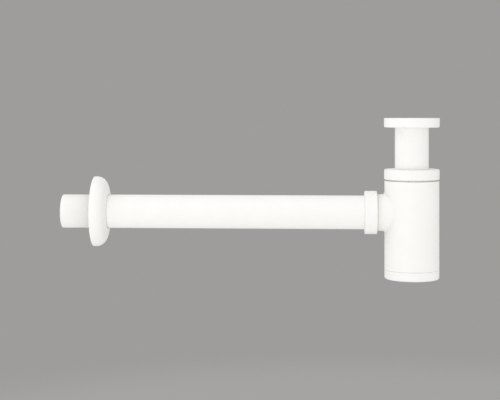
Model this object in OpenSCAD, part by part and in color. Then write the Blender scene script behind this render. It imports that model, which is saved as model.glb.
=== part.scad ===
// Bottle trap for a wash basin, with a straight outlet tube and a domed wall flange.
// The origin is the centre of the inlet nut's mouth. +Z is up, and the outlet runs along -X.
// Sizes are in millimetres. A name that ends in _z is a height, and one that ends in _s is a
// distance from the bottle's axis along the outlet.

/* [Tubes] */
// Outside diameter of the inlet tube and the outlet tube
tube_d = 32; // [30:0.5:33]
// Wall of both tubes
tube_wall = 1; // [0.7:0.1:1.6]
// Whole length of the inlet tube
inlet_tube_len = 90; // [80:1:100]
// Length of the inlet tube that shows between its nut and the collar
bare_len = 39.8; // [36:0.2:48]
// Whole length of the outlet tube
outlet_tube_len = 300; // [200:5:400]
// How far the outlet tube reaches into the branch past its mouth
outlet_insert = 6.3; // [5.6:0.1:12]
// Length of the outlet tube behind the wall's face
spigot_len = 30.7; // [10:0.1:60]
// Bevel on the ends of the tubes
tube_bevel = 0.3; // [0.1:0.05:0.5]

/* [Inlet nut] */
// Outside diameter of the inlet nut
inlet_nut_d = 52.6; // [48:0.2:60]
// Height of the inlet nut
inlet_nut_h = 8.8; // [7.6:0.1:14]
// Major diameter of the inlet thread, G 1 1/4
inlet_thread_d = 41.91; // [41.91:0.01:42.2]
// Minor diameter of the inlet thread
inlet_minor_d = 38.95; // [38.4:0.05:39.4]
// Thickness of the nut's lip under the tube's flange
inlet_lip = 1.4; // [1:0.1:2]
// Thickness of the inlet tube's flange
tube_flange_t = 1.2; // [0.8:0.1:1.6]
// Thickness of the flat washer
washer_t = 1.5; // [1:0.1:2]
// Round edge round the foot of the inlet nut
inlet_edge_r = 1.2; // [0.4:0.1:2]

/* [Collar] */
// How far the collar stands proud of the bottle all round
collar_proud = 0.3; // [0:0.05:2]
// Height of the collar
collar_h = 9.6; // [8.4:0.1:14]
// Wall of the collar outside its thread
collar_wall = 1.65; // [1.2:0.05:2]
// Thickness of the collar's lip
collar_lip = 1.8; // [1.2:0.1:2.4]
// Round edge round the top of the collar
collar_edge_r = 1.3; // [0.4:0.1:1.6]
// Gap between the collar and the bottle's shoulder
collar_gap = 1.3; // [0.6:0.1:3]

/* [Bottle] */
// Outside diameter of the bottle
bottle_d = 51.8; // [51:0.2:60]
// Wall of the bottle
bottle_wall = 1.9; // [1.4:0.1:2.6]
// Height of the bottle from its shoulder to the cup's seam
bottle_h = 84.4; // [76:0.2:110]
// Thickness of the bottle's shoulder
shoulder_t = 2.2; // [1.6:0.1:3.4]
// Wall of the bottle's neck under its thread
neck_wall = 1.7; // [1.2:0.1:1.9]
// Width of the ledge in the neck that the gasket lies on
ledge_w = 1.4; // [1:0.1:1.8]
// Depth of the outlet branch's axis below the shoulder
outlet_drop = 30.4; // [27:0.2:40]

/* [Branch] */
// Outside diameter of the branch
branch_d = 34.8; // [34.2:0.1:36]
// Distance from the bottle's axis to the branch's mouth
branch_reach = 41.2; // [40:0.1:60]
// Length of the threaded head on the branch
branch_head_len = 7.2; // [6:0.1:9]
// Depth of the branch's socket from its mouth to the stop
socket_depth = 13.7; // [12.8:0.1:14.2]
// Radius of the fillet where the branch meets the bottle
branch_fillet = 2.4; // [1.4:0.1:3.4]

/* [Cup] */
// Height of the cup below its seam
cup_h = 8.7; // [6:0.1:16]
// Thickness of the cup's floor
cup_floor = 2.5; // [1.6:0.1:4]
// Round edge round the foot of the cup
cup_edge_r = 1.8; // [0.6:0.1:2.4]
// Height of the cup's threaded spigot above the seam
spigot_h = 7; // [6:0.1:10]
// Wall of the cup's spigot under its thread
spigot_wall = 1.5; // [1.2:0.1:2]
// Section diameter of the cup's O-ring
oring_d = 1.7; // [1.4:0.1:1.9]

/* [Outlet nut] */
// Outside diameter of the outlet nut
outlet_nut_d = 40.9; // [40.6:0.1:46]
// Length of the outlet nut
outlet_nut_len = 11.6; // [10:0.1:14]
// Wall of the outlet nut outside its thread
outlet_nut_wall = 1.2; // [1:0.05:1.3]
// Thickness of the outlet nut's lip
outlet_lip = 1.6; // [1:0.1:2.4]
// Round edge at both ends of the outlet nut
outlet_edge_r = 0.5; // [0.2:0.1:0.8]

/* [Seals] */
// Thickness of the top seal at its flat face
top_seal_t = 4.2; // [3.6:0.1:4.4]
// Thickness of the top seal at its nose
top_seal_nose = 1; // [0.6:0.1:1.6]
// Length of the top seal's cone
top_cone_h = 5; // [4:0.1:7]
// How far the top seal's flat face stands over the neck
top_seal_proud = 0.4; // [0.2:0.1:0.8]
// Thickness of the outlet seal at its flat face
outlet_seal_t = 1.5; // [1.2:0.05:1.6]
// Thickness of the outlet seal at its nose
outlet_seal_nose = 0.7; // [0.5:0.05:0.9]
// Length of the outlet seal's cone
outlet_cone_len = 3.8; // [3:0.1:4.6]
// How far the outlet seal's flat face stands out of the branch
outlet_seal_proud = 0.6; // [0.2:0.1:1]
// Thickness of both slip rings
slip_ring_t = 1.2; // [0.8:0.1:1.6]

/* [Dip tube] */
// Wall of the dip tube
dip_wall = 1.5; // [1:0.1:1.9]
// Thickness of the dip tube's flange
dip_flange_t = 2.6; // [1.8:0.1:3]
// Thickness of the gasket under the dip tube's flange
gasket_t = 1; // [0.6:0.1:1.4]
// Clear height between the dip tube and the cup's floor
dip_clear = 10; // [7:0.5:16]

/* [Wall flange] */
// Diameter of the wall flange
flange_d = 67; // [60:0.5:80]
// Depth of the wall flange at its hole
flange_h = 13.3; // [12:0.1:16]
// Thickness of the wall flange's sheet
flange_t = 1; // [0.7:0.1:1.4]
// Radius of the flange's domed front
flange_crown_r = 110; // [90:1:130]
// Radius of the flange's rounded rim
flange_rim_r = 9.5; // [7:0.1:10]
// Length of the neck turned in round the flange's hole
flange_neck_len = 4; // [3:0.1:6]
// Thickness of the rubber ring that grips the tube
grip_ring_t = 1.6; // [1:0.1:2.4]

/* [Play] */
// Radial play between a tube and the rubber that seals on it
seal_play = 0.05; // [0.02:0.01:0.08]
// Radial play between a tube and the holes of nuts and rings
hole_play = 0.3; // [0.2:0.05:0.4]
// Radial play of a tube in the dip tube and in the branch's socket
bore_play = 0.5; // [0.3:0.05:0.6]
// Radial room between the walls of a male and a female thread
thread_room = 0.8; // [0.6:0.05:0.9]
// Gap between flat faces that turn on each other
face_gap = 0.1; // [0.05:0.01:0.2]
// Play between small pieces that are set in one another
set_play = 0.15; // [0.1:0.01:0.2]

/* [Hidden] */

$fn = 96;
eps = 0.01;
past = 1; // how far a cut runs past the wall that it opens

coat = [0.93, 0.93, 0.92];
rubber = [0.09, 0.09, 0.09];
slip_plastic = [0.82, 0.84, 0.85];
dip_plastic = [0.62, 0.64, 0.66];

tube_r = tube_d / 2;
tube_in_r = tube_r - tube_wall;
seal_in_r = tube_r + seal_play;
hole_r = tube_r + hole_play;
bore_r = tube_r + bore_play;

// Inlet: nut, flange of the tube and washer
inlet_lip_z = -inlet_nut_h + inlet_lip;
tube_flange_z = inlet_lip_z + face_gap;
tube_top_z = tube_flange_z + tube_flange_t;
washer_top_z = tube_top_z + washer_t;
pocket_r = inlet_minor_d / 2 + set_play;
tube_flange_r = inlet_minor_d / 2 - set_play;
thread_mouth = 0.4; // bevel at the mouth of a female thread

// Top of the bottle, from the collar's top face down
collar_top_z = -inlet_nut_h - bare_len;
collar_lip_z = collar_top_z - collar_lip;
top_ring_z = collar_lip_z - face_gap - slip_ring_t;
top_seal_z = top_ring_z - face_gap;
neck_z = top_seal_z - top_seal_proud;
shoulder_z = collar_top_z - collar_h - collar_gap;
collar_r = bottle_d / 2 + collar_proud;
collar_bore_r = collar_r - collar_wall;
neck_r = collar_bore_r - thread_room;
neck_bore_r = neck_r - neck_wall;
top_seal_r = seal_in_r + top_seal_t;
top_nose_r = seal_in_r + top_seal_nose;
top_land = 0.8; // straight part of the top seal above its cone

// Dip tube: its conical seat takes the top seal
seat_slope = (top_seal_r - top_nose_r) / top_cone_h;
seat_z = top_seal_z - top_land;
seat_r = top_seal_r + set_play;
seat_end_z = seat_z - (seat_r - bore_r) / seat_slope;
dip_flange_z = neck_z - dip_flange_t;
ledge_z = dip_flange_z - gasket_t;
dip_out_r = bore_r + dip_wall;
ledge_r = neck_bore_r - ledge_w;
dip_cup_r = ledge_r - set_play;
taper_z = dip_flange_z - gasket_t - 0.4;
taper_end_z = taper_z - (dip_cup_r - dip_out_r) / seat_slope;

// Bottle and cup
bottle_r = bottle_d / 2;
chamber_r = bottle_r - bottle_wall;
seam_z = shoulder_z - bottle_h;
foot_z = seam_z - cup_h;
floor_z = foot_z + cup_floor;
cup_top_z = seam_z - face_gap;
spigot_r = chamber_r - thread_room;
cup_in_r = spigot_r - spigot_wall;
dip_end_z = floor_z + dip_clear;
edge_bevel = 0.3; // fine bevels that meet as the seam
shoulder_edge_r = 0.5;
groove_r = chamber_r - seal_play - oring_d;
groove_z = seam_z + 0.8;
groove_w = oring_d + 0.4;

// Branch, outlet nut and outlet tube
outlet_z = shoulder_z - outlet_drop;
branch_r = branch_d / 2;
nut_bore_r = outlet_nut_d / 2 - outlet_nut_wall;
head_r = nut_bore_r - thread_room;
stop_s = branch_reach - socket_depth;
outlet_seal_s = branch_reach + outlet_seal_proud;
outlet_ring_s = outlet_seal_s + face_gap;
outlet_lip_s = outlet_ring_s + slip_ring_t + face_gap;
nut_far_s = outlet_lip_s + outlet_lip;
nut_near_s = nut_far_s - outlet_nut_len;
outlet_seal_r = seal_in_r + outlet_seal_t;
outlet_nose_r = seal_in_r + outlet_seal_nose;
tube_start_s = branch_reach - outlet_insert;
tube_end_s = tube_start_s + outlet_tube_len;

// Wall flange: a rim arc that runs smoothly into the arc of the dome
wall_s = tube_end_s - spigot_len;
flange_r = flange_d / 2;
flange_hole_r = tube_r + 2 * hole_play;
flange_neck_r = flange_hole_r + flange_t;
crown_rise = flange_crown_r - sqrt(pow(flange_crown_r, 2) - pow(flange_neck_r, 2));
crown_centre = flange_h + crown_rise - flange_crown_r;
rim_centre_r = flange_r - flange_rim_r;
rim_centre = crown_centre + sqrt(pow(flange_crown_r - flange_rim_r, 2) - pow(rim_centre_r, 2));

// A rectangle between two radii and two heights, for a revolved profile
module band(r_in, r_out, y_low, y_high) {
    translate([r_in, y_low]) square([r_out - r_in, y_high - y_low]);
}

// What is cut from a corner at (x, y) to leave a round edge. The signs point out of the corner.
module round_cut(x, y, r, sign_x, sign_y) {
    side = r + eps;
    translate([x - sign_x * r, y - sign_y * r])
        difference() {
            translate([min(0, sign_x * side), min(0, sign_y * side)]) square(side);
            circle(r);
        }
}

// What is cut from a corner at (x, y) to leave a bevel
module bevel_cut(x, y, w, sign_x, sign_y) {
    polygon([
        [x + sign_x * eps, y + sign_y * eps],
        [x - sign_x * (w + eps), y + sign_y * eps],
        [x + sign_x * eps, y - sign_y * (w + eps)]
    ]);
}

// Turns a profile of radius and height round the bottle's axis
module turned() {
    rotate_extrude() children();
}

// Turns a profile of radius and distance round the outlet's axis
module turned_outlet() {
    translate([0, 0, outlet_z]) rotate([0, -90, 0]) rotate_extrude() children();
}

module inlet_nut() {
    nut_r = inlet_nut_d / 2;
    thread_r = inlet_thread_d / 2;
    color(coat) turned() difference() {
        band(hole_r, nut_r, -inlet_nut_h, 0);
        round_cut(nut_r, -inlet_nut_h, inlet_edge_r, 1, -1);
        bevel_cut(nut_r, 0, edge_bevel, 1, 1);
        band(0, pocket_r, inlet_lip_z, past);
        band(0, thread_r, washer_top_z, past);
        bevel_cut(thread_r, 0, thread_mouth, -1, 1);
    }
}

module inlet_washer() {
    color(rubber) turned() band(tube_in_r + washer_t / 2, tube_flange_r, tube_top_z, washer_top_z);
}

module inlet_tube() {
    end_z = tube_top_z - inlet_tube_len;
    color(coat) turned() difference() {
        union() {
            band(tube_in_r, tube_r, end_z, tube_top_z);
            band(tube_in_r, tube_flange_r, tube_flange_z, tube_top_z);
        }
        bevel_cut(tube_r, end_z, tube_bevel, 1, -1);
        bevel_cut(tube_flange_r, tube_top_z, tube_bevel, 1, 1);
    }
}

module top_collar() {
    foot = collar_top_z - collar_h;
    color(coat) turned() difference() {
        band(hole_r, collar_r, foot, collar_top_z);
        band(0, collar_bore_r, foot - past, collar_lip_z);
        round_cut(collar_r, collar_top_z, collar_edge_r, 1, 1);
        round_cut(collar_r, foot, shoulder_edge_r, 1, -1);
        bevel_cut(collar_bore_r, foot, thread_mouth, -1, -1);
    }
}

module top_slip_ring() {
    ring_r = collar_bore_r - thread_room - set_play;
    color(slip_plastic) turned() band(hole_r, ring_r, top_ring_z, top_ring_z + slip_ring_t);
}

module top_seal() {
    nose_z = seat_z - top_cone_h;
    color(rubber) turned() polygon([
        [seal_in_r, top_seal_z],
        [top_seal_r, top_seal_z],
        [top_seal_r, seat_z],
        [top_nose_r, nose_z],
        [seal_in_r, nose_z]
    ]);
}

// One moulding: a flange that hangs on the bottle's ledge, a conical seat and the tube itself
module dip_tube() {
    color(dip_plastic) turned() polygon([
        [seat_r, neck_z],
        [neck_bore_r - set_play, neck_z],
        [neck_bore_r - set_play, dip_flange_z],
        [dip_cup_r, dip_flange_z],
        [dip_cup_r, taper_z],
        [dip_out_r, taper_end_z],
        [dip_out_r, dip_end_z],
        [bore_r, dip_end_z],
        [bore_r, seat_end_z],
        [seat_r, seat_z]
    ]);
}

module dip_tube_gasket() {
    color(rubber) turned() band(ledge_r, neck_bore_r - set_play, ledge_z, dip_flange_z);
}

// The fillet where the branch meets the bottle, as a ball rolled round the joint would leave it.
// Its frame has the branch along +Z and the bottle along X.
fillet_turns = 56;
fillet_arc = 6;
fillet_dig = 0.04; // how far the fillet's edges dip under the two walls
fillet_root = 0.8; // how far its body reaches into the two walls

function ball_y(a) = (branch_r + branch_fillet) * cos(a);
function ball_centre(a) = [
    (branch_r + branch_fillet) * sin(a),
    ball_y(a),
    sqrt(pow(bottle_r + branch_fillet, 2) - pow(ball_y(a), 2))
];
function to_bottle(c) = -[0, c[1], c[2]] / (bottle_r + branch_fillet);
function to_branch(c) = -[c[0], c[1], 0] / (branch_r + branch_fillet);
function between(p, q, t) = let (w = acos(p * q)) (sin((1 - t) * w) * p + sin(t * w) * q) / sin(w);
function fillet_ring(a) =
    let (
        c = ball_centre(a),
        p = to_bottle(c),
        q = to_branch(c),
        root = branch_fillet + fillet_root
    ) concat(
        [for (j = [0 : fillet_arc]) c + (branch_fillet + fillet_dig) * between(p, q, j / fillet_arc)],
        [c + root * q, c + root / (1 + p * q) * (p + q), c + root * p]
    );

module branch_fillet_ring() {
    rings = [for (i = [0 : fillet_turns - 1]) fillet_ring(i * 360 / fillet_turns)];
    n = len(rings[0]);
    polyhedron(
        points = [for (ring = rings) for (point = ring) point],
        faces = [
            for (i = [0 : fillet_turns - 1])
                for (j = [0 : n - 1])
                    let (next_i = (i + 1) % fillet_turns, next_j = (j + 1) % n)
                        [i * n + j, next_i * n + j, next_i * n + next_j, i * n + next_j]
        ],
        convexity = 6
    );
}

// The branch with its threaded head, as a profile of radius and distance
module branch_profile() {
    difference() {
        union() {
            band(0, branch_r, 0, branch_reach);
            band(0, head_r, branch_reach - branch_head_len, branch_reach);
        }
        bevel_cut(head_r, branch_reach, thread_mouth, 1, 1);
        bevel_cut(head_r, branch_reach - branch_head_len, thread_mouth, 1, -1);
    }
}

// The waterway of the branch: a bore, the tube's socket and the seal's conical seat
module branch_bore_profile() {
    seat_len = outlet_cone_len;
    face_r = outlet_seal_r + seal_play;
    nose_r = outlet_nose_r + seal_play;
    band(0, tube_in_r, 0, branch_reach);
    band(0, bore_r, stop_s, branch_reach);
    polygon([
        [0, branch_reach - seat_len],
        [nose_r, branch_reach - seat_len],
        [face_r, branch_reach],
        [face_r, branch_reach + past],
        [0, branch_reach + past]
    ]);
}

module bottle_body() {
    color(coat) difference() {
        turned() difference() {
            union() {
                band(0, bottle_r, seam_z, shoulder_z);
                band(0, neck_r, shoulder_z - shoulder_t, neck_z);
            }
            round_cut(bottle_r, shoulder_z, shoulder_edge_r, 1, 1);
            bevel_cut(bottle_r, seam_z, edge_bevel, 1, -1);
            bevel_cut(neck_r, neck_z, thread_mouth, 1, 1);
            band(0, chamber_r, seam_z - past, shoulder_z - shoulder_t);
            band(0, ledge_r, seam_z, neck_z);
            band(0, neck_bore_r, ledge_z, neck_z + past);
        }
        turned_outlet() band(0, tube_in_r, 0, bottle_r + past);
    }
}

// The branch is brazed on the bottle's wall. Its root is cut to the bottle's round and the
// braze is the rolled fillet.
module outlet_branch() {
    color(coat) difference() {
        union() {
            turned_outlet() branch_profile();
            translate([0, 0, outlet_z]) rotate([0, -90, 0]) branch_fillet_ring();
        }
        turned() band(0, bottle_r, outlet_z - bottle_r, outlet_z + bottle_r);
        turned_outlet() branch_bore_profile();
    }
}

module bottom_cup() {
    inner_edge_r = cup_edge_r - edge_bevel;
    color(coat) turned() difference() {
        union() {
            band(0, bottle_r, foot_z, cup_top_z);
            band(0, spigot_r, foot_z, seam_z + spigot_h);
        }
        round_cut(bottle_r, foot_z, cup_edge_r, 1, -1);
        bevel_cut(bottle_r, cup_top_z, edge_bevel, 1, 1);
        bevel_cut(spigot_r, seam_z + spigot_h, thread_mouth, 1, 1);
        band(groove_r, chamber_r, groove_z, groove_z + groove_w);
        difference() {
            band(0, cup_in_r, floor_z, seam_z + spigot_h + past);
            round_cut(cup_in_r, floor_z, inner_edge_r, 1, -1);
        }
    }
}

module cup_oring() {
    color(rubber) turned()
        translate([groove_r + oring_d / 2, groove_z + groove_w / 2]) circle(d = oring_d);
}

module outlet_nut() {
    nut_r = outlet_nut_d / 2;
    color(coat) turned_outlet() difference() {
        band(hole_r, nut_r, nut_near_s, nut_far_s);
        band(0, nut_bore_r, nut_near_s - past, outlet_lip_s);
        round_cut(nut_r, nut_near_s, outlet_edge_r, 1, -1);
        round_cut(nut_r, nut_far_s, outlet_edge_r, 1, 1);
        bevel_cut(nut_bore_r, nut_near_s, thread_mouth, -1, -1);
    }
}

module outlet_slip_ring() {
    ring_r = nut_bore_r - thread_room - set_play;
    color(slip_plastic) turned_outlet()
        band(hole_r, ring_r, outlet_ring_s, outlet_ring_s + slip_ring_t);
}

module outlet_seal() {
    nose_s = branch_reach - outlet_cone_len;
    color(rubber) turned_outlet() polygon([
        [seal_in_r, nose_s],
        [outlet_nose_r, nose_s],
        [outlet_seal_r, branch_reach],
        [outlet_seal_r, outlet_seal_s],
        [seal_in_r, outlet_seal_s]
    ]);
}

module outlet_tube() {
    color(coat) turned_outlet() difference() {
        band(tube_in_r, tube_r, tube_start_s, tube_end_s);
        bevel_cut(tube_r, tube_start_s, tube_bevel, 1, -1);
        bevel_cut(tube_r, tube_end_s, tube_bevel, 1, 1);
        bevel_cut(tube_in_r, tube_end_s, tube_bevel, -1, 1);
    }
}

// The filled outline of the flange, shrunk by the sheet's thickness for its inside. The profile
// runs from the wall at 0 out to the dome.
module flange_outline(shrink) {
    rim_r = flange_rim_r - shrink;
    crown_r = flange_crown_r - shrink;
    // beyond this radius the rim's arc bounds the outline, and within it the dome's arc
    touch_r = rim_centre_r * crown_r / (flange_crown_r - flange_rim_r);
    union() {
        band(0, rim_centre_r + rim_r, -eps, rim_centre);
        translate([rim_centre_r, rim_centre]) circle(rim_r);
        intersection() {
            translate([0, crown_centre]) circle(crown_r, $fn = 720);
            band(0, touch_r, -eps, flange_crown_r);
        }
    }
}

module wall_flange() {
    neck_end = flange_h - flange_neck_len;
    color(coat) translate([-wall_s, 0, outlet_z]) rotate([0, 90, 0])
        rotate_extrude() difference() {
            intersection() {
                band(0, flange_r + past, 0, flange_crown_r);
                union() {
                    difference() {
                        flange_outline(0);
                        flange_outline(flange_t);
                    }
                    band(0, flange_neck_r, neck_end, flange_h - flange_t / 2);
                }
            }
            band(0, flange_hole_r, -past, flange_crown_r);
        }
}

// A rubber sleeve pushed over the flange's neck, with a lip that grips the tube
module flange_grip_ring() {
    neck_end = flange_h - flange_neck_len;
    sleeve_r = flange_neck_r + seal_play;
    color(rubber) translate([-wall_s, 0, outlet_z]) rotate([0, 90, 0])
        rotate_extrude() difference() {
            band(seal_in_r, sleeve_r + grip_ring_t, neck_end - 2 * grip_ring_t, neck_end + grip_ring_t);
            band(0, sleeve_r, neck_end, flange_h);
        }
}

inlet_nut();
inlet_washer();
inlet_tube();
top_collar();
top_slip_ring();
top_seal();
dip_tube();
dip_tube_gasket();
bottle_body();
outlet_branch();
bottom_cup();
cup_oring();
outlet_nut();
outlet_slip_ring();
outlet_seal();
outlet_tube();
wall_flange();
flange_grip_ring();
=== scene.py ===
import math

import bmesh
import bpy
from mathutils import Matrix, Vector


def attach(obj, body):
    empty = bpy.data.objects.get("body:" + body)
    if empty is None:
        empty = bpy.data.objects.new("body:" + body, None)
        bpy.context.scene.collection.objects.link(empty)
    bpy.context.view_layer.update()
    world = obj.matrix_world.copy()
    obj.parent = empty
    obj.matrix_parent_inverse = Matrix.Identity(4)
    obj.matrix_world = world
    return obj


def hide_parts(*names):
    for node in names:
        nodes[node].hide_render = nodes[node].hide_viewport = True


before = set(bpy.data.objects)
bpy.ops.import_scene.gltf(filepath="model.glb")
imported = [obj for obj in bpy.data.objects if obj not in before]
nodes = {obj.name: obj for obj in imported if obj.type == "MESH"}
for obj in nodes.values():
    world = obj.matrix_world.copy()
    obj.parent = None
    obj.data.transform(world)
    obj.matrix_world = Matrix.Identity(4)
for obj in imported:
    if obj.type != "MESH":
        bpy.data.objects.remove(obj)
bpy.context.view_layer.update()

# ---------------------------------------------------------------------------------------------
# Inlet nut. A union nut turned from brass bar and sprayed with matte white powder. The bore was
# plugged for the oven, so the thread, its pocket and the lip's edge are bare brass.


class Wire:
    """A number on its way through a finish. Adding or scaling wires adds their Math nodes."""

    def __init__(self, finish, socket):
        self.finish, self.socket = finish, socket

    def math(self, operation, *values):
        return self.finish.node("Math", {"operation": operation}, values)

    def __add__(self, other):
        return self.math("ADD", self, other)

    def __sub__(self, other):
        return self.math("SUBTRACT", self, other)

    def __rsub__(self, other):
        return self.math("SUBTRACT", other, self)

    def __mul__(self, other):
        return self.math("MULTIPLY", self, other)

    __radd__, __rmul__ = __add__, __mul__

    def rise(self, low, high):
        """0 up to low, 1 from high on, and smooth between them."""
        return self.finish.node(
            "MapRange", {"interpolation_type": "SMOOTHSTEP"}, (self, low, high, 0, 1)
        )

    def to(self, other, share):
        """This number where share is 0 and the other where it is 1."""
        return self + (other - self) * share


class Finish:
    """The finish of one piece: a material whose patterns are measured in millimetres."""

    def __init__(self, name):
        self.material = bpy.data.materials.new(name)
        self.material.use_nodes = True
        self.tree = self.material.node_tree
        self.tree.nodes.clear()
        here = self.node("TexCoord", {}, {}, "Object")
        self.place = self.node("VectorMath", {"operation": "SCALE"}, {"Vector": here, "Scale": 1000})

    def node(self, kind, settings, values, output=0):
        made = self.tree.nodes.new("ShaderNode" + kind)
        for key, setting in settings.items():
            setattr(made, key, setting)
        pairs = values.items() if isinstance(values, dict) else enumerate(values)
        for key, value in pairs:
            if isinstance(value, Wire):
                self.tree.links.new(value.socket, made.inputs[key])
            else:
                made.inputs[key].default_value = value
        return Wire(self, made.outputs[output]) if made.outputs else None

    def grain(self, size, detail=2.0):
        """Soft noise from 0 to 1 whose lumps are about `size` millimetres across."""
        return self.node("TexNoise", {}, {"Vector": self.place, "Scale": 1 / size, "Detail": detail})

    def rings(self, distance, width):
        """Noise along one distance only, as a tool leaves it on a turned face."""
        values = {"W": distance, "Scale": 1 / width, "Detail": 3.0}
        return self.node("TexNoise", {"noise_dimensions": "1D"}, values)

    def from_axis(self, axis, centre):
        """Distance from a piece's axis, and the height along that axis."""
        spot = self.node("VectorMath", {"operation": "SUBTRACT"}, (self.place, centre))
        across = [1 - abs(a) for a in axis]
        flat = self.node("VectorMath", {"operation": "MULTIPLY"}, (spot, across))
        radius = self.node("VectorMath", {"operation": "LENGTH"}, (flat,), "Value")
        height = self.node("VectorMath", {"operation": "DOT_PRODUCT"}, (spot, axis), "Value")
        return radius, height

    def blend(self, first, second, share):
        return self.node("Mix", {"data_type": "RGBA"}, {0: share, 6: first, 7: second}, 2)

    def made(self, colour, rough, metal, relief, **fixed):
        """The surface itself. The relief is in millimetres."""
        normal = self.node("Bump", {}, {"Strength": 1.0, "Distance": 0.001, "Height": relief})
        values = {"Base Color": colour, "Roughness": rough, "Metallic": metal, "Normal": normal}
        values.update({key.replace("_", " "): value for key, value in fixed.items()})
        self.node("OutputMaterial", {}, (self.node("BsdfPrincipled", {}, values),))
        return self.material


def turned_brass(f, radius, height):
    """Colour, roughness and relief of brass as the lathe left it."""
    tool = f.rings(radius + height, 0.22)
    colour = f.blend((0.745, 0.560, 0.285, 1), (0.560, 0.400, 0.205, 1), f.grain(5, 3).rise(0.35, 0.7))
    return colour, 0.26 + tool * 0.16, tool * 0.004


def powder_coated(name, axis, centre, bare):
    """White powder coat on turned brass. bare(radius, height) is 1 where the brass shows."""
    f = Finish(name)
    radius, height = f.from_axis(axis, centre)
    wander = (f.grain(2.2) - 0.5) * 0.5
    open_brass = bare(radius + wander, height + wander)
    brass, brass_rough, brass_relief = turned_brass(f, radius, height)
    coat = f.blend((0.880, 0.876, 0.866, 1), (0.868, 0.863, 0.852, 1), f.grain(14).rise(0.3, 0.7))
    coat_rough = 0.58 + f.grain(0.8) * 0.1
    coat_relief = 0.05 + f.grain(1.3, 1.0) * 0.0045 + f.grain(0.35) * 0.0014
    return f.made(
        f.blend(coat, brass, open_brass),
        coat_rough.to(brass_rough, open_brass),
        open_brass,
        coat_relief.to(brass_relief, open_brass),
        Specular_IOR_Level=0.3,
    )


def dress(node, material):
    """Gives a finish to a piece of the frame, on its object's own slots."""
    for place in nodes[node].material_slots:
        place.link, place.material = "OBJECT", material


upright, trap_axis = (0, 0, 1), (0, 0, 0)
dress("inlet_nut", powder_coated("inlet nut finish", upright, trap_axis,
    lambda r, h: (21.45 - r).rise(-0.1, 0.1) * (h + 8.5).rise(-0.1, 0.1) * (-1.0 - h).rise(-0.2, 0.2)))


def thread_rule():
    """A ridge that winds round a wall at a fixed pitch and fades out at both ends."""
    tree = bpy.data.node_groups.new("thread", "GeometryNodeTree")
    for name in ("Wall radius", "Ridge height", "Root width", "Crest width", "Pitch", "Start", "Turns", "Phase"):
        tree.interface.new_socket(name, in_out="INPUT", socket_type="NodeSocketFloat")
    tree.interface.new_socket("Material", in_out="INPUT", socket_type="NodeSocketMaterial")
    tree.interface.new_socket("Geometry", in_out="OUTPUT", socket_type="NodeSocketGeometry")
    given = tree.nodes.new("NodeGroupInput").outputs

    def add(kind, values, **settings):
        made = tree.nodes.new(kind)
        for key, setting in settings.items():
            setattr(made, key, setting)
        for key, value in values.items():
            if isinstance(value, bpy.types.NodeSocket):
                tree.links.new(value, made.inputs[key])
            else:
                made.inputs[key].default_value = value
        return made.outputs[0]

    def sum_of(operation, *values):
        return add("ShaderNodeMath", dict(enumerate(values)), operation=operation)

    def point(*values):
        return add("ShaderNodeCombineXYZ", dict(enumerate(values)))

    steps = add("FunctionNodeFloatToInt", {0: sum_of("MULTIPLY", given["Turns"], 120)})
    line = add("GeometryNodeCurvePrimitiveLine", {"End": (1, 0, 0)})
    line = add("GeometryNodeResampleCurve", {"Curve": line, "Count": steps})
    turned = sum_of("MULTIPLY", add("GeometryNodeSplineParameter", {}), given["Turns"])
    angle = sum_of("ADD", sum_of("MULTIPLY", turned, 2 * math.pi), given["Phase"])
    spot = point(
        sum_of("MULTIPLY", sum_of("COSINE", angle), given["Wall radius"]),
        sum_of("MULTIPLY", sum_of("SINE", angle), given["Wall radius"]),
        sum_of("ADD", sum_of("MULTIPLY", turned, given["Pitch"]), given["Start"]),
    )
    helix = add("GeometryNodeSetPosition", {"Geometry": line, "Position": spot})
    helix = add("GeometryNodeSetCurveNormal", {"Curve": helix}, mode="Z_UP")
    near_end = sum_of("MINIMUM", turned, sum_of("SUBTRACT", given["Turns"], turned))
    fade = add("ShaderNodeMapRange", {"Value": near_end, "From Max": 0.4, "To Min": 0.02},
        interpolation_type="SMOOTHSTEP")
    root = sum_of("MULTIPLY", given["Root width"], 0.5)
    crest = sum_of("MULTIPLY", given["Crest width"], 0.5)
    sunk = sum_of("MULTIPLY", given["Ridge height"], -0.05)
    section = add("GeometryNodeCurvePrimitiveQuadrilateral", {
        "Point 1": point(sunk, root),
        "Point 2": point(given["Ridge height"], crest),
        "Point 3": point(given["Ridge height"], sum_of("MULTIPLY", crest, -1)),
        "Point 4": point(sunk, sum_of("MULTIPLY", root, -1)),
    }, mode="POINTS")
    section = add("GeometryNodeFilletCurve", {
        "Curve": section, "Count": 3, "Radius": sum_of("MULTIPLY", crest, 0.6)}, mode="POLY")
    ridge = add("GeometryNodeCurveToMesh", {
        "Curve": helix, "Profile Curve": section, "Scale": fade, "Fill Caps": True})
    ridge = add("GeometryNodeSetShadeSmooth", {"Geometry": ridge})
    ridge = add("GeometryNodeRealizeInstances", {"Geometry": ridge})
    ridge = add("GeometryNodeSetMaterial", {"Geometry": ridge, "Material": given["Material"]})
    tree.links.new(ridge, tree.nodes.new("NodeGroupOutput").inputs[0])
    return tree


def as_piece(name, mesh, body):
    """An object with its place in its mesh, closed faces outwards, that rides on a body."""
    shape = bmesh.new()
    shape.from_mesh(mesh)
    bmesh.ops.recalc_face_normals(shape, faces=shape.faces)
    if shape.calc_volume(signed=True) < 0:
        bmesh.ops.reverse_faces(shape, faces=shape.faces)
    shape.to_mesh(mesh)
    shape.free()
    mesh.set_sharp_from_angle(angle=math.radians(40))
    piece = bpy.data.objects.new(name, mesh)
    bpy.context.scene.collection.objects.link(piece)
    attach(piece, body)
    return piece


thread_tree = thread_rule()


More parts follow.
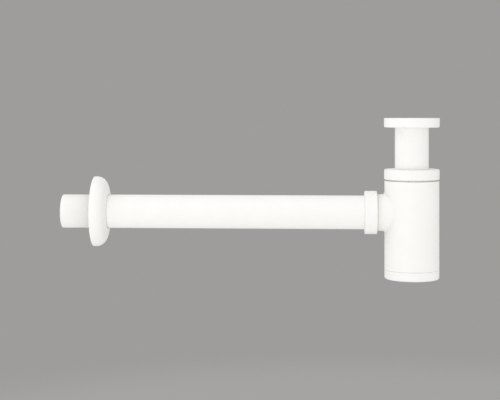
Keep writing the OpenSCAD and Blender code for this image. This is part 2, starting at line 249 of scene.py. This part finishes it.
def cut_thread(name, body, axis, centre, wall, height, root, crest, pitch, start, end, phase=0.0):
    """One thread in bare brass. A ridge with a negative height stands inwards."""
    f = Finish(name + " finish")
    colour, rough, relief = turned_brass(f, *f.from_axis(axis, centre))
    sizes = {
        "Wall radius": wall * 0.001, "Ridge height": height * 0.001, "Root width": root * 0.001,
        "Crest width": crest * 0.001, "Pitch": pitch * 0.001, "Start": start * 0.001,
        "Turns": (end - start) / pitch, "Phase": phase, "Material": f.made(colour, rough, 1.0, relief),
    }
    blank = bpy.data.objects.new(name + " blank", bpy.data.meshes.new(name))
    bpy.context.scene.collection.objects.link(blank)
    rule = blank.modifiers.new("thread", "NODES")
    rule.node_group = thread_tree
    for item in thread_tree.interface.items_tree:
        if item.in_out == "INPUT":
            rule[item.identifier] = sizes[item.name]
    shown = blank.evaluated_get(bpy.context.evaluated_depsgraph_get())
    mesh = bpy.data.meshes.new_from_object(shown)
    bpy.data.objects.remove(blank)
    turn = Vector(upright).rotation_difference(Vector(axis)).to_matrix().to_4x4()
    mesh.transform(Matrix.Translation(Vector(centre) * 0.001) @ turn)
    return as_piece(name, mesh, body)


cut_thread("inlet_thread_ridge", "inlet_nut", upright, trap_axis,
    wall=20.955, height=-1.47, root=1.95, crest=0.40, pitch=2.309, start=-4.25, end=-0.5)

# ---------------------------------------------------------------------------------------------
# Washer and inlet tube. The washer is a flat ring of black rubber that lies on the tube's
# flange. The tube is drawn brass, white outside and bare inside and on its flange.


def moulded_rubber(name, axis, centre):
    f = Finish(name)
    radius, height = f.from_axis(axis, centre)
    bloom = f.grain(3.5, 3).rise(0.45, 0.75)
    colour = f.blend((0.018, 0.018, 0.019, 1), (0.040, 0.040, 0.042, 1), bloom)
    relief = f.grain(0.25, 3) * 0.006 + f.rings(height, 0.5) * 0.004
    return f.made(colour, 0.52 + bloom * 0.16, 0.0, relief, Specular_IOR_Level=0.4)


dress("inlet_washer", moulded_rubber("washer rubber", upright, trap_axis))
dress("inlet_tube", powder_coated("inlet tube finish", upright, trap_axis,
    lambda r, h: (15.6 - r).rise(-0.1, 0.1).to(1, (h + 7.4).rise(-0.2, 0.2))))

# ---------------------------------------------------------------------------------------------
# Collar. It screws on the bottle's neck and squeezes the top seal on the inlet tube. A thin
# slip ring of natural polyethylene keeps it from dragging the black conical seal round.

dress("top_collar", powder_coated("collar finish", upright, trap_axis,
    lambda r, h: (25.0 - r).rise(-0.1, 0.1) * (-49.8 - h).rise(-0.1, 0.1)))
fine = dict(root=1.10, crest=0.29, pitch=1.5)
cut_thread("collar_thread_ridge", "collar", upright, trap_axis,
    wall=24.55, height=-0.7, start=-57.7, end=-52.4, phase=math.pi, **fine)


def natural_polyethylene(name, axis, centre):
    f = Finish(name)
    radius, height = f.from_axis(axis, centre)
    flow = f.grain(4, 3)
    colour = f.blend((0.700, 0.715, 0.705, 1), (0.610, 0.630, 0.625, 1), flow.rise(0.3, 0.7))
    relief = f.grain(0.5) * 0.003 + f.rings(radius, 0.4) * 0.003
    return f.made(colour, 0.34 + flow * 0.12, 0.0, relief, IOR=1.51)


dress("top_slip_ring", natural_polyethylene("top slip ring plastic", upright, trap_axis))
dress("top_seal", moulded_rubber("top seal rubber", upright, trap_axis))

# ---------------------------------------------------------------------------------------------
# Dip tube. One moulding in grey polypropylene that hangs on a gasket in the bottle's neck. Its
# foot stands in the water of the trap. The mould leaves a parting line down both sides.


def grey_polypropylene(name):
    f = Finish(name)
    radius, height = f.from_axis(upright, trap_axis)
    across = f.node("SeparateXYZ", {}, (f.place,), "Y")
    parting = across.math("ABSOLUTE", across).rise(0.05, 0.16)
    flow = f.grain(9, 3)
    colour = f.blend((0.400, 0.412, 0.425, 1), (0.345, 0.357, 0.372, 1), flow.rise(0.3, 0.7))
    relief = f.grain(0.6) * 0.003 + (1 - parting) * 0.03
    return f.made(colour, 0.40 + flow * 0.12, 0.0, relief, IOR=1.49)


dress("dip_tube", grey_polypropylene("dip tube plastic"))
dress("dip_tube_gasket", moulded_rubber("gasket rubber", upright, trap_axis))

# ---------------------------------------------------------------------------------------------
# Bottle. A brass tube with a turned shoulder and a threaded neck, white outside and bare inside.
# The cup screws into its open foot. The neck's thread is the collar's, and the foot's the cup's.

dress("bottle_body", powder_coated("bottle finish", upright, trap_axis,
    lambda r, h: (24.45 - r).rise(-0.1, 0.1) * (1 - (h + 59.9).rise(-0.1, 0.1) * (58.1 + h).rise(0.1, -0.1) * (r - 23.6).rise(-0.1, 0.1))))
cut_thread("neck_thread_ridge", "bottle", upright, trap_axis,
    wall=23.75, height=0.7, start=-58.3, end=-52.5, phase=0.0, **fine)
cut_thread("foot_thread_ridge", "bottle", upright, trap_axis,
    wall=24.0, height=-0.7, start=-140.6, end=-136.4, phase=0.0, **fine)

# ---------------------------------------------------------------------------------------------
# Outlet branch. A short turned brass socket that is brazed on the bottle's wall. The braze is
# dressed to a small even fillet all round the saddle, and only the threaded head stays bare.

outlet_axis, outlet_centre = (-1, 0, 0), (0, 0, -89.9)
fillet, bottle_wall, branch_wall, sunk = 2.4, 25.9, 17.4, 0.3


def on_bottle(radius, angle, wall):
    """The place of a point at this radius from the branch's axis that lies on the bottle's wall."""
    across = radius * math.cos(angle)
    return Vector((radius * math.sin(angle), across, math.sqrt(wall ** 2 - across ** 2)))


def branch_ring(angle):
    """One lengthwise section of the branch. A ball that rolls along both walls makes the fillet."""
    ball = on_bottle(branch_wall + fillet, angle, bottle_wall + fillet)
    on_branch = Vector((branch_wall * math.sin(angle), branch_wall * math.cos(angle), ball.z)) - ball
    flat = Vector((0, ball.y, ball.z))
    foot = -flat.normalized() * fillet
    outline = [ball + foot - flat.normalized() * sunk]
    for step in range(13):
        outline.append(ball + foot.slerp(on_branch, step / 12).normalized() * fillet)
    turned = [
        (17.40, 33.9), (17.40, 34.0), (17.55, 34.0), (18.05, 34.0), (18.15, 34.05), (18.40, 34.30),
        (18.45, 34.40), (18.45, 34.55), (18.45, 40.65), (18.45, 40.80), (18.40, 40.92), (18.17, 41.15),
        (18.05, 41.20), (17.65, 41.20), (17.58, 41.12), (16.85, 37.48), (16.75, 37.40), (16.55, 37.40),
        (16.50, 37.35), (16.50, 27.60), (16.47, 27.50), (16.35, 27.50), (15.10, 27.50), (15.00, 27.45),
        (15.00, 27.30),
    ]
    outline += [Vector((r * math.sin(angle), r * math.cos(angle), s)) for r, s in turned]
    outline.append(on_bottle(15.0, angle, bottle_wall - sunk))
    return outline


def lofted(name, sections):
    """A closed mesh through sections that run round an axis and come back to the first."""
    mesh, rows, columns = bpy.data.meshes.new(name), len(sections[0]), len(sections)
    faces = [
        (c * rows + r, c * rows + (r + 1) % rows, (c + 1) % columns * rows + (r + 1) % rows,
         (c + 1) % columns * rows + r)
        for c in range(columns) for r in range(rows)
    ]
    mesh.from_pydata([tuple(point) for section in sections for point in section], [], faces)
    mesh.shade_smooth()
    return mesh


to_outlet = Matrix(((0, 0, -1, 0), (0, 1, 0, 0), (1, 0, 0, -89.9), (0, 0, 0, 1)))
branch_mesh = lofted("branch", [branch_ring(2 * math.pi * i / 240) for i in range(240)])
branch_mesh.transform(Matrix.Scale(0.001, 4) @ to_outlet)
branch_mesh.materials.append(powder_coated("branch finish", outlet_axis, outlet_centre,
    lambda r, s: (16.9 - r).rise(-0.1, 0.1).to(1, (s - 33.7).rise(-0.1, 0.1))))
branch = as_piece("brazed_branch", branch_mesh, "bottle")
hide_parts("outlet_branch")
cut_thread("branch_thread_ridge", "bottle", outlet_axis, outlet_centre,
    wall=18.45, height=0.7, start=34.6, end=40.7, phase=0.0, **fine)

# ---------------------------------------------------------------------------------------------
# Cleaning cup and O-ring. The cup screws into the bottle's foot and closes on a rubber ring in
# a groove. The joint shows outside only as a fine seam.

dress("bottom_cup", powder_coated("cup finish", upright, trap_axis,
    lambda r, h: ((h + 143.95).rise(-0.05, 0.05) * (25.3 - r).rise(-0.1, 0.1)).to(
        1, (21.95 - r).rise(-0.1, 0.1) * (h + 150.3).rise(-0.1, 0.1))))
cut_thread("cup_thread_ridge", "cup", upright, trap_axis,
    wall=23.2, height=0.7, start=-140.75, end=-137.0, phase=math.pi, **fine)
dress("cup_oring", moulded_rubber("O-ring rubber", upright, trap_axis))

# ---------------------------------------------------------------------------------------------
# Outlet nut. A slim compression nut on the branch's head, with the same slip ring and conical
# seal as the collar. It is knurl-free, because it is only tightened by hand.

dress("outlet_nut", powder_coated("outlet nut finish", outlet_axis, outlet_centre,
    lambda r, s: (19.7 - r).rise(-0.1, 0.1) * (43.6 - s).rise(-0.1, 0.1)))
cut_thread("outlet_nut_thread_ridge", "outlet_nut", outlet_axis, outlet_centre,
    wall=19.25, height=-0.7, start=33.75, end=40.9, phase=math.pi, **fine)
dress("outlet_slip_ring", natural_polyethylene("outlet slip ring plastic", outlet_axis, outlet_centre))
dress("outlet_seal", moulded_rubber("outlet seal rubber", outlet_axis, outlet_centre))

# ---------------------------------------------------------------------------------------------
# Outlet tube. A plain length of drawn brass tube, cut square and coated outside. A little of
# the powder drifts into its open end.

dress("outlet_tube", powder_coated("outlet tube finish", outlet_axis, outlet_centre,
    lambda r, s: (15.5 - r).rise(-0.1, 0.1) * (330 - s).rise(-5, 5)))

# ---------------------------------------------------------------------------------------------
# Wall flange. A dome pressed from brass sheet, with a rolled rim and a neck turned in round its
# hole. Only its front is coated. A rubber grip ring on the neck holds it on the tube.


def flange_inside(r, s):
    """1 on the sheet's inner face, which faces the wall, and 0 on its front."""
    dome = ((r * r) + (399.48 - s) * (399.48 - s)).math("SQRT", r * r + (399.48 - s) * (399.48 - s))
    rim = r.math("SQRT", (r - 24) * (r - 24) + (301.89 - s) * (301.89 - s))
    under_rim = (9.0 - rim).rise(-0.2, 0.2).to(1, (24 - r).rise(-0.5, 0.5))
    return (109.5 - dome).rise(-0.2, 0.2) * under_rim


dress("wall_flange", powder_coated("flange finish", outlet_axis, outlet_centre, flange_inside))
dress("flange_grip_ring", moulded_rubber("grip ring rubber", outlet_axis, outlet_centre))

# ---------------------------------------------------------------------------------------------
# The studio. Soft light from nearly all round, a pale floor well below the hanging trap, and
# the camera at the height of the inlet, a little to the left of the bottle.

backdrop = (0.342, 0.337, 0.328, 1)


def seen_directly(f):
    """1 for rays that look at the background, straight or in a reflection, and 0 for light."""
    path = f.tree.nodes.new("ShaderNodeLightPath").outputs
    camera, glossy, through = (
        Wire(f, path[name]) for name in ("Is Camera Ray", "Is Glossy Ray", "Is Transmission Ray")
    )
    return camera.math("MAXIMUM", camera.math("MAXIMUM", camera, glossy), through)


class Surround(Finish):
    """The light that comes from everywhere."""

    def __init__(self, strength):
        world = bpy.data.worlds.new("surround")
        world.use_nodes = True
        bpy.context.scene.world = world
        self.tree = world.node_tree
        self.tree.nodes.clear()
        look = seen_directly(self)
        colour = self.blend((1, 0.995, 0.985, 1), backdrop, look)
        light = self.node("Background", {}, (colour, look * (1 - strength) + strength))
        self.node("OutputWorld", {}, (light,))


Surround(0.93)

floor_finish = Finish("floor paint")
from_middle, _ = floor_finish.from_axis(upright, trap_axis)
edge = (from_middle - 900).rise(-250, 0)
_, behind = None, Wire(floor_finish, floor_finish.tree.nodes.new("ShaderNodeNewGeometry").outputs["Backfacing"])
look = seen_directly(floor_finish)
glow = floor_finish.node("Emission", {}, (backdrop, 1.0))
paint = floor_finish.blend((0.86, 0.86, 0.85, 1), (0.45, 0.445, 0.435, 1), look)
paint = floor_finish.node("BsdfDiffuse", {}, (paint,))
lit = floor_finish.node("MixShader", {}, (look * 0.7, paint, glow))
clear = floor_finish.node("BsdfTransparent", {}, ())
away = behind.math("MAXIMUM", edge, behind)
floor_finish.node("OutputMaterial", {}, (floor_finish.node("MixShader", {}, (away, lit, clear)),))
floor_mesh = bpy.data.meshes.new("floor")
rim = [(1.0 * math.cos(a * math.pi / 32), 1.0 * math.sin(a * math.pi / 32), -0.40) for a in range(64)]
floor_mesh.from_pydata(rim, [], [tuple(range(64))])
floor_mesh.materials.append(floor_finish.material)
floor = bpy.data.objects.new("floor", floor_mesh)
bpy.context.scene.collection.objects.link(floor)

aim = Vector((-0.16, 0, -0.09))


def soft_lamp(name, azimuth, elevation, distance, width, power):
    """A square area lamp that looks at the trap. Azimuth 0 is in front and 90 to the right."""
    light = bpy.data.lights.new(name, "AREA")
    light.size, light.energy = width, power
    lamp = bpy.data.objects.new(name, light)
    a, e = math.radians(azimuth), math.radians(elevation)
    way = Vector((math.sin(a) * math.cos(e), -math.cos(a) * math.cos(e), math.sin(e)))
    lamp.location = aim + way * distance
    lamp.rotation_euler = way.to_track_quat("Z", "Y").to_euler()
    bpy.context.scene.collection.objects.link(lamp)


soft_lamp("front lamp", -6, -14, 1.6, 0.9, 6.5)
soft_lamp("left lamp", -88, 45, 1.6, 0.9, 3.0)
soft_lamp("top lamp", 10, 80, 1.6, 0.9, 1.5)

eye = bpy.data.cameras.new("camera")
eye.lens, eye.sensor_width, eye.shift_y = 86.44, 36, -0.183
camera = bpy.data.objects.new("camera", eye)
camera.location = (-0.0908, -1.14905, 0.00915)
camera.rotation_euler = (math.radians(90), 0, math.radians(3.157))
bpy.context.scene.collection.objects.link(camera)
bpy.context.scene.camera = camera
bpy.context.scene.view_settings.view_transform = "Standard"
